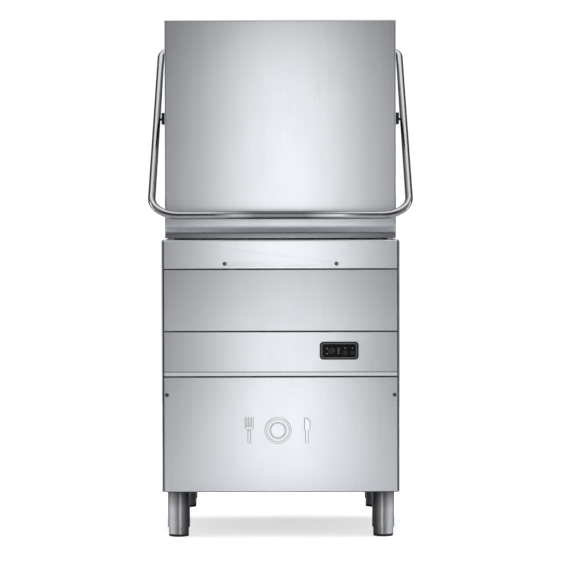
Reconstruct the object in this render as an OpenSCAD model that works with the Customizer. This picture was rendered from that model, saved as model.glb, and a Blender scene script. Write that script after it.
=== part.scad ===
// Hood dishwasher for commercial kitchens.
// Origin on the floor, at the centre of the footprint. X to the right, -Y to the front, +Z up.

/* [Cabinet] */
// Width of the cabinet
body_w = 660; // [658:1:664]
// Distance from the origin to the front panels
front_reach = 372; // [371:0.5:373]
// Depth of the cabinet from front panels to rear panel
body_d = 700; // [698:1:702]
// Height of the cabinet's lower edge above the floor
body_z = 127; // [126:0.5:128]
// Height of the deck's upper face above the floor
deck_z = 828; // [827:0.5:829]
// Thickness of the sheet steel
sheet = 1.5; // [1.2:0.1:1.6]

/* [Front panels] */
// Height of the seam between the lower panel and the control panel
lower_seam_z = 449; // [446:1:452]
// Height at which the control panel folds back
fold_z = 463; // [460:1:466]
// Height of the seam between the control panel and the middle panel
middle_seam_z = 575; // [573:1:580]
// Height of the seam between the middle panel and the fascia
fascia_seam_z = 748; // [744:1:752]
// Width of the gap between two panels
panel_gap = 2; // [1.5:0.1:3]
// Depth of the folded edges behind each panel
panel_fold = 18; // [16:1:20]

/* [Hood] */
// Width of the hood
hood_w = 648; // [646:1:650]
// Distance from the front panels back to the hood's front
hood_set_back = 80; // [79:0.5:81]
// Depth of the hood
hood_d = 554; // [553:0.5:555]
// Height of the hood's top above the floor, when closed
hood_top_z = 1443; // [1442:1:1446]
// Gap between the closed hood and the deck
hood_gap = 4; // [3.8:0.1:5]
// Radius of the hood's folds
hood_fold_r = 4; // [2:0.5:5]
// Distance that the hood's front steps in above its rim
rim_step = 12; // [8:1:13]

/* [Handle] */
// Diameter of the handle tube
tube_d = 22; // [21.6:0.1:22]
// Distance from one arm's centre line to the other's
arm_spacing = 724; // [722:1:730]
// Distance from the origin forward to the centre of the front bar
bar_reach = 327; // [326:1:332]
// Height of the front bar's centre, when closed
bar_z = 897; // [895:1:899]
// Radius of the tube's front bends, at its centre line
front_bend_r = 78; // [70:1:84]
// Radius of the tube's rear bends, at its centre line
rear_bend_r = 40; // [38:1:44]
// Distance from the origin back to the pivot's axis
pivot_y = 300; // [299:0.5:301]
// Height of the pivot's axis
pivot_z = 1392; // [1391:0.5:1393]
// Distance from the pivot's axis to the lift pins, along the arms
lift_pin_r = 352; // [350:1:354]

/* [Wash system] */
// Distance from the origin forward to the axis of the wash arms
arm_axis_reach = 26; // [25:0.5:27]
// Reach of the wash arms from their axis
wash_arm_r = 235; // [225:1:238]
// Height of the rack above the floor
rack_z = 850; // [849:1:852]
// Height of the tank's floor
tank_floor_z = 600; // [598:1:604]

/* [Feet] */
// Distance from the centre to the feet, across the cabinet
foot_x = 286; // [280:1:290]
// Diameter of the fixed foot tubes
foot_tube_d = 62; // [61:0.5:63]
// Diameter of the adjustable foot sleeves
foot_sleeve_d = 56; // [54:0.5:56]

/* [Controls] */
// Distance from the centre to the middle of the control field
field_x = 162; // [150:1:180]
// Height of the middle of the control field
field_z = 521.5; // [517:0.5:522]
// Width of the control field's bezel
bezel_w = 108; // [106:1:112]
// Height of the control field's bezel
bezel_h = 50; // [48:1:54]

/* [Hidden] */
$fn = 48;
// Distance by which a cut runs past a face
cut = 1;
// Free space around a piece that sits in a hole
clear = 0.2;

// Cabinet
half_w = body_w / 2;
front_y = -front_reach;
back_y = front_y + body_d;
hem_w = 3;
hem_d = 15;
edge_r = 2.5;
fold_step = 2.5;
panel_w = body_w - 2 * (hem_w + panel_gap);
frame_z = body_z + 2;
bar_size = 30;
bar_wall = 2;
post_x = half_w - sheet - bar_size;
post_front_y = front_y + panel_fold + 2;
post_rear_y = back_y - sheet - bar_size;
cross_ys = [-75, 165];
ledge_d = 40;
fascia_screw = [155, 763];
lower_screw = [315.5, 399];
rear_screw_x = 308;
rear_screw_zs = [170, 460, 760];
cover_flange = 13;
cover_screw_ys = [286, 314];
screw_r = 3;

// Tank and wash chamber
chamber_y = -arm_axis_reach;
tank_x = 300;
tank_front_y = -286;
tank_rear_y = 252;
tank_wall = 2;
tank_flange = 12;
shelf_y = 216;
tray_z = 790;
tray_h = 8;
tray_sheet = 1.2;
sump_lo = [-175, 35, tank_floor_z - 70];
sump_hi = [145, 205, tank_floor_z];
basket_at = [-120, 120];
basket_r = 50;
overflow_at = [110, 120];
overflow_r = 20;
heater_z = tank_floor_z + 25;
heater_r = 4.5;
heater_front_y = -220;
heater_pitch = 40;

// Rear wall and hood
wall_y = 256;
wall_t = 2;
wall_x = hood_w / 2 - 4;
hood_front_y = front_y + hood_set_back;
hood_rear_y = hood_front_y + hood_d;
hood_bottom_z = deck_z + hood_gap;
rim_lip_h = 13;
rim_curve_h = 27;
rear_flange = 22;

// Lift mechanism
arm_x = arm_spacing / 2;
tube_r = tube_d / 2;
arm_dy = bar_reach + pivot_y;
arm_dz = pivot_z - bar_z;
arm_len = sqrt(arm_dy * arm_dy + arm_dz * arm_dz);
arm_angle = atan(arm_dz / arm_dy);
pin_y = pivot_y - lift_pin_r * cos(arm_angle);
pin_z = pivot_z - lift_pin_r * sin(arm_angle);
pin_r = 4;
pin_sleeve_r = 6;
guide_h = 29;
guide_wall = 2;
guide_d = 20;
guide_len = 114;
guide_front_y = pivot_y - lift_pin_r - 18;
column_x = 190;
column_y = 272;
column_w = 40;
column_d = 30;
column_top_z = hood_top_z - 7;
column_slot = 24;
carriage_t = 4;
carriage_h = 30;
carriage_zs = [858, 935];
tube_end_x = column_x + column_w / 2 + 1;
bearing_t = 20;
lever_x = 236;
lever_t = 10;
lever_r = 50;
lever_pin_r = 4;
spring_x = lever_x + lever_t + 5;
spring_y = pivot_y + lever_r * cos(arm_angle);
anchor_z = 880;
anchor_h = 6;
cover_x = 268;
cover_y = 375;
cover_screw_x = cover_x + cover_flange / 2;

// Wash pipes and arms
pipe_r = 14;
branch_r = 12;
pipe_wall = 1.5;
riser_y = 241;
branch_z = 765;
upper_pipe_z = 1358;
riser_bend_r = 40;
arm_bend_r = 26;
lower_spindle_z = 803;
upper_spindle_z = upper_pipe_z - arm_bend_r - 3;
spindle_r = 8;
spindle_fit = 0.06;

// Machine compartment
pump_y = 120;
pump_z = 390;
casing_r = 62;
casing_t = 50;
outlet_dz = 40;
shaft_r = 8;
plate_z = frame_z + bar_size + 5;
boiler_at = [-192, 110];
boiler_r = 93;
suction_x = -65;
suction_r = 20;
drain_r = 18.5;
drain_tail_r = 20;
drain_z = 465;
valve_x = 220;
valve_z = 250;
gland_x = -60;
gland_z = 250;
gland_r = 10;

// Feet
foot_places = [
    [-foot_x, front_y + 55], [foot_x, front_y + 55],
    [-foot_x, back_y - 50], [foot_x, back_y - 50]
];
foot_nut_z = 80;
stud_r = 8;
sole_h = 7;

// Control field, with places measured from its middle
window_w = bezel_w - 16.5;
window_h = bezel_h - 14.4;
power_at = [-20.7, 0];
cycle_at = [16.3, -5.8];
drain_at = [36.8, -5.8];
power_r = 10;
key_r = 7.8;

// Points along an arc about c
function arc(c, r, a0, a1, n = 6) =
    [for (i = [0 : n]) let (a = a0 + (a1 - a0) * i / n) c + r * [cos(a), sin(a)]];

// Outline of a rectangle w by h with round corners
function round_rect(w, h, r) = concat(
    arc([w / 2 - r, h / 2 - r], r, 0, 90),
    arc([r - w / 2, h / 2 - r], r, 90, 180),
    arc([r - w / 2, r - h / 2], r, 180, 270),
    arc([w / 2 - r, r - h / 2], r, 270, 360));

// Outline of a bar with round ends, along X
function round_bar(reach, w) = concat(
    arc([reach - w / 2, 0], w / 2, -90, 90, 10),
    arc([w / 2 - reach, 0], w / 2, 90, 270, 10));

// A box given by its lowest and highest corner
module block(lo, hi) {
    translate(lo)
        cube(hi - lo);
}

// A cylinder that starts at p and runs along +X
module rod_x(p, r, len) {
    translate(p)
        rotate([0, 90, 0])
            cylinder(r = r, h = len);
}

// A cylinder that starts at p and runs along +Y
module rod_y(p, r, len) {
    translate(p)
        rotate([-90, 0, 0])
            cylinder(r = r, h = len);
}

// A cylinder that starts at p and runs along +Z
module rod_z(p, r, len) {
    translate(p)
        cylinder(r = r, h = len);
}

// A quarter of a tube bend about c, from direction +X to +Y before turn is applied
module bend(c, turn, bend_r, r) {
    translate(c)
        rotate(turn)
            rotate_extrude(angle = 90)
                translate([bend_r, 0])
                    circle(r = r);
}

// An outline in Y and Z, extruded along X from x0 to x1
module extrude_x(x0, x1) {
    translate([x0, 0, 0])
        rotate([90, 0, 90])
            linear_extrude(height = x1 - x0)
                children();
}

// An outline in X and Z, extruded along Y from y0 to y1
module extrude_y(y0, y1) {
    translate([0, y1, 0])
        rotate([90, 0, 0])
            linear_extrude(height = y1 - y0)
                children();
}

// Its children, and the same mirrored to the other side of the cabinet
module both_sides() {
    children();
    mirror([1, 0, 0])
        children();
}

// ---------- Frame and feet ----------

// A square tube: a box less a smaller box, inset on the sides where inset is positive
module square_tube(lo, hi, inset) {
    difference() {
        block(lo, hi);
        block(lo + inset, hi - inset);
    }
}

module base_frame() {
    top_z = frame_z + bar_size;
    joint = 1;
    color("silver") {
        both_sides()
            square_tube([post_x, post_front_y, frame_z], [post_x + bar_size, post_rear_y + bar_size, top_z],
                        [bar_wall, -cut, bar_wall]);
        for (y = concat([post_front_y, post_rear_y], cross_ys))
            square_tube([-post_x - joint, y, frame_z], [post_x + joint, y + bar_size, top_z],
                        [-cut, bar_wall, bar_wall]);
    }
}

module corner_posts() {
    back = post_rear_y + bar_size;
    color("silver")
        both_sides()
            difference() {
                for (y = [post_front_y, post_rear_y])
                    square_tube([post_x, y, frame_z + bar_size],
                                [post_x + bar_size, y + bar_size, deck_z - sheet],
                                [bar_wall, bar_wall, -cut]);
                for (z = rear_screw_zs)
                    rod_y([rear_screw_x, back - bar_wall - cut, z], screw_r + clear, bar_wall + 2 * cut);
            }
}

module foot_tubes() {
    low_z = 25;
    wall = 2;
    r = foot_tube_d / 2;
    collar_h = 6;
    nut_h = 10;
    color("silver")
        for (p = foot_places)
            translate(p)
                difference() {
                    union() {
                        rod_z([0, 0, low_z], r, frame_z - low_z);
                        rod_z([0, 0, body_z - collar_h], r + 1.2, collar_h);
                    }
                    rod_z([0, 0, low_z - cut], r - wall, foot_nut_z - low_z + cut);
                    rod_z([0, 0, foot_nut_z - cut], stud_r + 0.05, nut_h + 2 * cut);
                    rod_z([0, 0, foot_nut_z + nut_h], r - wall, frame_z - foot_nut_z - nut_h + cut);
                }
}

module foot_sleeve(i) {
    top_z = 68;
    stud_top_z = 113;
    color("gray")
        translate(foot_places[i]) {
            rod_z([0, 0, sole_h], foot_sleeve_d / 2, top_z - sole_h);
            rod_z([0, 0, top_z - cut], stud_r, stud_top_z - top_z + cut);
        }
}

module foot_sole(i) {
    color("black")
        translate(foot_places[i])
            rod_z([0, 0, 0], foot_sleeve_d / 2 - 0.5, sole_h);
}

// ---------- Outer panels ----------

// The right side panel: a sheet with folds below and behind, and a hem along its front edge
module side_panel() {
    fold_x = half_w - 11;
    top_z = deck_z - sheet;
    color("lightgray")
        difference() {
            block([fold_x, front_y, body_z], [half_w, back_y, top_z]);
            block([fold_x - cut, front_y + hem_d, body_z + sheet],
                  [half_w - sheet, back_y - sheet, top_z + cut]);
            block([fold_x - cut, front_y - cut, body_z - cut],
                  [half_w - hem_w, front_y + 2 * hem_d, top_z + cut]);
        }
}

module rear_panel() {
    x = post_x + bar_size - 12;
    valve_hole_r = 16;
    vent_x = 120;
    vent_h = 5;
    vent_pitch = 14;
    vent_low_z = 640;
    color("lightgray")
        difference() {
            block([-x, back_y - sheet, body_z + 2], [x, back_y, deck_z - sheet - clear]);
            rod_y([valve_x, back_y - sheet - cut, valve_z], valve_hole_r, sheet + 2 * cut);
            rod_y([overflow_at[0], back_y - sheet - cut, drain_z], drain_tail_r + 2, sheet + 2 * cut);
            rod_y([gland_x, back_y - sheet - cut, gland_z], gland_r + clear, sheet + 2 * cut);
            both_sides()
                for (z = rear_screw_zs)
                    rod_y([rear_screw_x, back_y - sheet - cut, z], screw_r + clear, sheet + 2 * cut);
            for (z = [vent_low_z : vent_pitch : vent_low_z + 7 * vent_pitch])
                block([-vent_x, back_y - sheet - cut, z], [vent_x, back_y + cut, z + vent_h]);
        }
}

// Outline of a panel in Y and Z, with round folds, or of the space in it when moved in by inset
function tray_outline(z0, z1, inset) =
    let (r = edge_r - inset, y = front_y + edge_r, back = front_y + panel_fold + inset)
    concat([[back, z0 + inset]],
        arc([y, z0 + edge_r], r, 270, 180),
        arc([y, z1 - edge_r], r, 180, 90),
        [[back, z1 - inset]]);

// The same for the control panel, whose lowest part slopes back
function control_outline(z0, z1, inset) =
    let (r = edge_r - inset, y = front_y + edge_r, back = front_y + panel_fold + inset,
         drop = fold_z - z0, slope = sqrt(drop * drop + fold_step * fold_step),
         low_y = front_y + (edge_r * slope + (drop - edge_r) * fold_step) / drop)
    concat([[back, z0 + inset]],
        arc([low_y, z0 + edge_r], r, 270, 180 + atan(fold_step / drop)),
        [[front_y + inset, fold_z]],
        arc([y, z1 - edge_r], r, 180, 90),
        [[back, z1 - inset]]);

// A front panel: a shallow tray of sheet steel with its open side to the rear
module front_tray(outline, space) {
    w = panel_w / 2;
    difference() {
        extrude_x(-w, w)
            polygon(outline);
        extrude_x(sheet - w, w - sheet)
            polygon(space);
    }
}

module front_fascia() {
    w = panel_w / 2;
    r = 4;
    z0 = fascia_seam_z + panel_gap / 2;
    low = [front_y + edge_r, z0 + edge_r];
    profile = concat(
        arc(low, edge_r, 270, 180),
        arc([front_y + r, deck_z - r], r, 180, 90),
        [[front_y + ledge_d, deck_z], [front_y + ledge_d, deck_z - sheet]],
        arc([front_y + r, deck_z - r], r - sheet, 90, 180),
        arc(low, edge_r - sheet, 180, 270),
        [[front_y + panel_fold, z0 + sheet], [front_y + panel_fold, z0]]);
    color("lightgray")
        difference() {
            extrude_x(-w, w)
                polygon(profile);
            both_sides()
                rod_y([fascia_screw[0], front_y - cut, fascia_screw[1]], screw_r + clear, sheet + 2 * cut);
        }
}

module mid_panel() {
    z0 = middle_seam_z + panel_gap / 2;
    z1 = fascia_seam_z - panel_gap / 2;
    color("lightgray")
        front_tray(tray_outline(z0, z1, 0), tray_outline(z0, z1, sheet));
}

module control_panel() {
    z0 = lower_seam_z + panel_gap / 2;
    z1 = middle_seam_z - panel_gap / 2;
    color("lightgray")
        difference() {
            front_tray(control_outline(z0, z1, 0), control_outline(z0, z1, sheet));
            at_field()
                extrude_y(front_y - cut, front_y + sheet + cut)
                    polygon(round_rect(bezel_w - 8, bezel_h - 8, 6));
        }
}

// A plate between a fork and a knife
module table_symbol() {
    plate_rings = [[36, 31.5], [22.5, 20]];
    setting_x = 80;
    for (ring = plate_rings)
        difference() {
            circle(r = ring[0]);
            circle(r = ring[1]);
        }
    translate([-setting_x, 0]) {
        polygon(concat(arc([0, -31], 3.5, 180, 360), [[3, 3], [-3, 3]]));
        polygon(arc([0, 11], 11, 180, 360, 12));
        for (x = [-9, 0, 9])
            translate([x - 2, 10])
                square([4, 25]);
    }
    translate([setting_x, 0])
        polygon(concat(arc([0, -31], 3.5, 180, 360), [[3.5, 0], [8, 4]],
                       arc([-6.5, 19], 15.5, -10, 90), [[-6.5, 4], [-3.5, 0]]));
}

module lower_panel() {
    symbol_at = [-8, 300];
    symbol_h = 2;
    z0 = body_z + panel_gap / 2;
    z1 = lower_seam_z - panel_gap / 2;
    color("lightgray")
        difference() {
            union() {
                front_tray(tray_outline(z0, z1, 0), tray_outline(z0, z1, sheet));
                translate([symbol_at[0], 0, symbol_at[1]])
                    extrude_y(front_y - symbol_h, front_y + sheet / 2)
                        table_symbol();
            }
            both_sides()
                rod_y([lower_screw[0], front_y - cut, lower_screw[1]], screw_r + clear, sheet + 2 * cut);
        }
}

// A screw with its head up and its seat at the origin
module screw() {
    head_r = 5.5;
    head_h = 2.8;
    rim_h = 1.4;
    shank_len = 12;
    rod_z([0, 0, 0], head_r, rim_h);
    rod_z([0, 0, 0], head_r - 1.6, head_h);
    rod_z([0, 0, -shank_len], screw_r, shank_len + rim_h / 2);
}

module panel_screws() {
    color("gray")
        both_sides() {
            for (p = [fascia_screw, lower_screw])
                translate([p[0], front_y, p[1]])
                    rotate([90, 0, 0])
                        screw();
            for (z = rear_screw_zs)
                translate([rear_screw_x, back_y, z])
                    rotate([-90, 0, 0])
                        screw();
            for (y = cover_screw_ys)
                translate([cover_screw_x, y, deck_z + sheet])
                    screw();
        }
}

// ---------- Controls ----------

module at_field() {
    translate([field_x, 0, field_z])
        children();
}

module control_bezel() {
    proud = 3;
    depth = 5;
    color([0.15, 0.15, 0.16])
        at_field()
            difference() {
                union() {
                    extrude_y(front_y - proud, front_y)
                        polygon(round_rect(bezel_w, bezel_h, 10));
                    extrude_y(front_y - cut, front_y + depth)
                        polygon(round_rect(bezel_w - 9, bezel_h - 9, 5.5));
                }
                extrude_y(front_y - proud - cut, front_y + depth + cut)
                    polygon(round_rect(window_w, window_h, 4));
            }
}

module display_window() {
    color("black")
        at_field()
            difference() {
                extrude_y(front_y - 1.2, front_y + 3)
                    polygon(round_rect(window_w - 2 * clear, window_h - 2 * clear, 4 - clear));
                rod_y([power_at[0], front_y - 5, power_at[1]], power_r, 10);
                for (p = [cycle_at, drain_at])
                    rod_y([p[0], front_y - 5, p[1]], key_r, 10);
            }
}

module indicator_lights() {
    lamps = [[-33.2, 6.4], [-33.2, -7.8], [-2.1, 6.4], [-2.1, 0], [-2.1, -6.7], [16.3, 7.2], [36.8, 7.2]];
    lamp_r = 1.4;
    lamp_h = 0.5;
    color("white")
        at_field()
            for (p = lamps)
                rod_y([p[0], front_y - 1.2 - lamp_h, p[1]], lamp_r, lamp_h);
}

module press_button(at, hole_r) {
    cap_y = front_y - 1.8;
    cap_h = 5.4;
    dish_h = 0.7;
    color([0.1, 0.1, 0.1])
        at_field()
            difference() {
                rod_y([at[0], cap_y, at[1]], hole_r - 0.3, cap_h);
                rod_y([at[0], cap_y - cut, at[1]], hole_r - 2, cut + dish_h);
            }
}

module control_box() {
    x = 80;
    h = 48;
    near_y = front_y + 7;
    far_y = front_y + 60;
    wall = 2;
    color("dimgray")
        at_field()
            difference() {
                block([-x, near_y, -h], [x, far_y, h]);
                block([wall - x, near_y - cut, wall - h], [x - wall, far_y - wall, h - wall]);
            }
}

// ---------- Tank, deck and filters ----------

module wash_tank() {
    top_z = deck_z - sheet;
    w = tank_wall;
    inner_x = tank_x - w;
    color("silver")
        difference() {
            union() {
                difference() {
                    union() {
                        block([-tank_x, tank_front_y, tank_floor_z], [tank_x, tank_rear_y, top_z]);
                        block([-tank_x - tank_flange, tank_front_y - tank_flange, top_z - w],
                              [tank_x + tank_flange, tank_rear_y + tank_flange, top_z]);
                        block(sump_lo, sump_hi + [0, 0, cut]);
                    }
                    block([-inner_x, tank_front_y + w, tank_floor_z + w],
                          [inner_x, tank_rear_y - w, top_z + cut]);
                    block(sump_lo + [w, w, w], sump_hi + [-w, -w, w + cut]);
                }
                block([-inner_x - cut, tank_front_y + cut, tray_z - w],
                      [inner_x + cut, tank_front_y + 10, tray_z]);
                block([-inner_x - cut, shelf_y, tray_z - w], [inner_x + cut, tank_rear_y - cut, tray_z]);
            }
            rod_z([0, riser_y, tank_floor_z - cut], pipe_r + clear, 300);
            rod_z([overflow_at[0], overflow_at[1], sump_lo[2] - cut], drain_r + clear, w + 2 * cut);
            rod_z([suction_x, pump_y, sump_lo[2] - cut], suction_r + clear, w + 2 * cut);
            for (y = [heater_front_y, heater_front_y + 3 * heater_pitch])
                rod_x([-tank_x - cut, y, heater_z], heater_r + clear, w + 2 * cut);
        }
}

module top_deck() {
    x = tank_x - 2;
    low_z = deck_z - sheet;
    color("silver")
        difference() {
            block([-half_w, front_y + ledge_d + panel_gap, low_z], [half_w, back_y, deck_z]);
            block([-x, tank_front_y + 2, low_z - cut], [x, tank_rear_y - 2, deck_z + cut]);
            rod_z([0, riser_y, low_z - cut], pipe_r + clear, sheet + 2 * cut);
            both_sides()
                for (y = cover_screw_ys)
                    rod_z([cover_screw_x, y, low_z - cut], screw_r + clear, sheet + 2 * cut);
        }
}

// Two angle rails with cross rods, on which a 500 by 500 rack slides from side to side
module rack_guide() {
    rack_half = 250;
    rail_x = hood_w / 2 - 8;
    rail_w = 25;
    rail_t = 2;
    fence_h = 20;
    rod_r = 3;
    rod_z0 = rack_z - rail_t - rod_r;
    foot_x0 = tank_x;
    color("silver") {
        for (s = [-1, 1]) {
            edge = chamber_y + s * (rack_half + 0.5);
            fence = edge + s * rail_t;
            inner = edge - s * rail_w;
            block([-rail_x, min(fence, inner), rack_z - rail_t], [rail_x, max(fence, inner), rack_z]);
            block([-rail_x, min(edge, fence), rack_z - rail_t],
                  [rail_x, max(edge, fence), rack_z + fence_h]);
            for (x = [-rail_x, foot_x0])
                block([x, min(edge, inner + s * 5), deck_z],
                      [x + rail_x - foot_x0, max(edge, inner + s * 5), rack_z - cut]);
        }
        for (x = [-200, 200])
            rod_y([x, chamber_y - rack_half + 5, rod_z0 + 0.5], rod_r, 2 * rack_half - 10);
    }
}

module filter_trays() {
    gap = 1.5;
    y0 = tank_front_y + tank_wall + gap;
    y1 = riser_y - pipe_r - 4;
    slot = [70, 5];
    color("silver")
        for (s = [-1, 1]) {
            x0 = s > 0 ? gap / 2 : gap - tank_x + tank_wall;
            x1 = s > 0 ? tank_x - tank_wall - gap : -gap / 2;
            difference() {
                block([x0, y0, tray_z], [x1, y1, tray_z + tray_h]);
                difference() {
                    block([x0 + tray_sheet, y0 + tray_sheet, tray_z + tray_sheet],
                          [x1 - tray_sheet, y1 - tray_sheet, tray_z + tray_h + cut]);
                    rod_z([0, chamber_y, tray_z], branch_r + 6, tray_h);
                }
                rod_z([0, chamber_y, tray_z - cut], branch_r + 4, tray_h + 2 * cut);
                if (s < 0)
                    rod_z([basket_at[0], basket_at[1], tray_z - cut], basket_r + 1, tray_h + 2 * cut);
                for (x = [x0 + 20 : 90 : x0 + 200], y = [y0 + 20 : 30 : y0 + 230])
                    block([x, y, tray_z - cut], [x + slot[0], y + slot[1], tray_z + tray_sheet + cut]);
            }
        }
}

module sump_basket() {
    floor_z = 545;
    rim_z = tray_z + tray_sheet;
    slot_zs = [570 : 70 : 710];
    slot_h = 50;
    slot_w = 8;
    color("silver")
        translate(basket_at)
            difference() {
                union() {
                    rod_z([0, 0, floor_z], basket_r, rim_z - floor_z + cut);
                    rod_z([0, 0, rim_z], basket_r + 6, 1.5);
                }
                rod_z([0, 0, floor_z + tray_sheet], basket_r - tray_sheet, rim_z - floor_z + 3);
                for (z = slot_zs, a = [0 : 45 : 135])
                    rotate([0, 0, a])
                        block([-basket_r - cut, -slot_w / 2, z], [basket_r + cut, slot_w / 2, z + slot_h]);
            }
}

// Stand pipe that sets the water level and plugs the drain
module overflow_pipe() {
    floor_z = sump_lo[2] + tank_wall;
    top_z = 745;
    wall = 3;
    grip_r = 14;
    color("dimgray")
        translate(overflow_at) {
            difference() {
                union() {
                    rod_z([0, 0, floor_z], overflow_r, top_z - floor_z);
                    rod_z([0, 0, floor_z], overflow_r + 6, 6);
                }
                rod_z([0, 0, floor_z - cut], overflow_r - wall, top_z - floor_z + 2 * cut);
            }
            translate([0, 0, top_z - cut])
                rotate([90, 0, 0])
                    rotate_extrude(angle = 180)
                        translate([overflow_r - wall / 2, 0])
                            square([wall - 0.6, grip_r], center = true);
        }
}

// A folded element of four legs that hangs on a plate at the tank's left wall
module tank_heater() {
    left_x = -tank_x - 3;
    rim = 15;
    turn_x = [-230, 200];
    turn_r = heater_pitch / 2;
    color("dimgray") {
        block([left_x - 5, heater_front_y - rim, heater_z - rim],
              [-tank_x - clear, heater_front_y + 3 * heater_pitch + rim, heater_z + rim]);
        for (i = [0 : 3]) {
            x0 = (i == 0 || i == 3) ? left_x : turn_x[0];
            rod_x([x0, heater_front_y + i * heater_pitch, heater_z], heater_r, turn_x[1] - x0);
        }
        for (i = [0, 2])
            for (half = [0, 90])
                bend([turn_x[1], heater_front_y + turn_r + i * heater_pitch, heater_z],
                     [0, 0, half - 90], turn_r, heater_r);
        for (half = [0, 90])
            bend([turn_x[0], heater_front_y + 3 * turn_r, heater_z], [0, 0, half + 90], turn_r, heater_r);
    }
}

// ---------- Wash pipes and arms ----------

module rear_wall() {
    color("silver")
        block([-wall_x, wall_y, deck_z], [wall_x, wall_y + wall_t, column_top_z]);
}

// The pipe from the pump to both spindles. thin is taken off each radius, past is added to the ends
module pipe_run(thin, past) {
    r = pipe_r - thin;
    small_r = branch_r - thin;
    start_y = pump_y + casing_r + 2;
    start_z = pump_z + outlet_dz;
    bend_y = riser_y - riser_bend_r;
    arm_bend_y = chamber_y + arm_bend_r;
    low_z = start_z + riser_bend_r;
    high_z = upper_pipe_z - riser_bend_r;
    rod_y([0, start_y - past, start_z], r, bend_y - start_y + past);
    bend([0, bend_y, low_z], [0, 90, 0], riser_bend_r, r);
    rod_z([0, riser_y, low_z], r, high_z - low_z);
    bend([0, bend_y, high_z], [0, -90, 0], riser_bend_r, r);
    rod_y([0, arm_bend_y, upper_pipe_z], r, bend_y - arm_bend_y);
    bend([0, arm_bend_y, upper_pipe_z - arm_bend_r], [0, -90, 180], arm_bend_r, r);
    rod_z([0, chamber_y, upper_spindle_z - past], r, upper_pipe_z - arm_bend_r - upper_spindle_z + past);
    rod_y([0, arm_bend_y, branch_z], small_r, riser_y - arm_bend_y);
    bend([0, arm_bend_y, branch_z + arm_bend_r], [0, 90, 180], arm_bend_r, small_r);
    rod_z([0, chamber_y, branch_z + arm_bend_r], small_r, lower_spindle_z - branch_z - arm_bend_r + past);
}

module wash_manifold() {
    clip_zs = [900, 1150];
    color("silver")
        difference() {
            union() {
                pipe_run(0, 0);
                for (z = clip_zs)
                    block([-22, riser_y, z], [22, wall_y, z + 12]);
            }
            pipe_run(pipe_wall, cut);
        }
}

// One spindle, standing on z with its free end towards dir
module spindle(z, dir) {
    flange_r = 16;
    cap_r = 12;
    translate([0, chamber_y, z])
        mirror([0, 0, dir < 0 ? 1 : 0]) {
            rod_z([0, 0, 0], flange_r, 3);
            rod_z([0, 0, 1], spindle_r, 34);
            rod_z([0, 0, 28.2], cap_r, 6.8);
        }
}

module arm_spindles() {
    color("gray") {
        spindle(lower_spindle_z, 1);
        spindle(upper_spindle_z, -1);
    }
}

// A hollow wash arm with a row of nozzles on the side towards dir
module wash_arm(z, dir) {
    w = 34;
    h = 14;
    wall = 1.5;
    hub_r = 17;
    color("silver")
        translate([0, chamber_y, z])
            mirror([0, 0, dir < 0 ? 1 : 0])
                translate([0, 0, 3.3])
                    difference() {
                        linear_extrude(height = h)
                            polygon(round_bar(wash_arm_r, w));
                        difference() {
                            translate([0, 0, wall])
                                linear_extrude(height = h - 2 * wall)
                                    polygon(round_bar(wash_arm_r - wall, w - 2 * wall));
                            rod_z([0, 0, 0], hub_r, h);
                        }
                        rod_z([0, 0, -cut], spindle_r + spindle_fit, h + 2 * cut);
                        for (s = [-1, 1], i = [0 : 3])
                            rod_z([s * (65 + 48 * i), s * 6, h - 2 * wall], 3, 2 * wall + cut);
                    }
}

// A rinse arm: a thin pipe through a hub, with small jets
module rinse_arm(z, dir) {
    r = 4.8;
    hub_r = 13;
    hub_h = 9.6;
    reach = wash_arm_r - 8;
    rest_angle = 8;
    color("silver")
        translate([0, chamber_y, z])
            mirror([0, 0, dir < 0 ? 1 : 0])
                translate([0, 0, 18])
                    difference() {
                        union() {
                            rod_z([0, 0, 0], hub_r, hub_h);
                            rotate([0, 0, rest_angle])
                                rod_x([-reach, 0, hub_h / 2], r - 0.3, 2 * reach);
                        }
                        rod_z([0, 0, -cut], spindle_r + spindle_fit, hub_h + 2 * cut);
                        rotate([0, 0, rest_angle])
                            for (s = [-1, 1], i = [0 : 3])
                                rod_z([s * (50 + 45 * i), 0, hub_h / 2], 1.2, hub_h);
                    }
}

// ---------- Machine compartment ----------

// A bed plate on two pads, which stand on the two inner cross tubes
module bed_plate(x0, x1) {
    for (y = cross_ys)
        block([x0 + 5, y + 4, frame_z + bar_size], [x1 - 5, y + bar_size - 4, plate_z + 1]);
    block([x0, cross_ys[0], plate_z], [x1, cross_ys[1] + bar_size, plate_z + 3]);
}

module pump_casing() {
    wall = 6;
    t = casing_t / 2;
    stub_r = 17;
    color("dimgray")
        difference() {
            union() {
                rod_x([-t, pump_y, pump_z], casing_r, casing_t);
                rod_y([0, pump_y, pump_z + outlet_dz], stub_r, casing_r);
            }
            rod_x([wall - 2 - t, pump_y, pump_z], casing_r - wall, casing_t - 2 * (wall - 2));
            rod_y([0, pump_y, pump_z + outlet_dz], branch_r, casing_r + cut);
            rod_x([-t - cut, pump_y, pump_z], suction_r - 2, wall + cut);
            rod_x([t - wall, pump_y, pump_z], shaft_r + 2, wall + cut);
        }
}

module pump_motor() {
    x0 = casing_t / 2;
    x1 = 205;
    r = 52;
    bore_x1 = 185;
    color("slategray")
        difference() {
            union() {
                rod_x([x0, pump_y, pump_z], 40, 12);
                rod_x([x0 + 10, pump_y, pump_z], r, x1 - x0 - 10);
                block([60, pump_y - 35, plate_z], [170, pump_y + 35, pump_z]);
                bed_plate(40, 190);
            }
            rod_x([x0 - cut, pump_y, pump_z], shaft_r + spindle_fit, bore_x1 - x0 + cut);
        }
}

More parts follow.
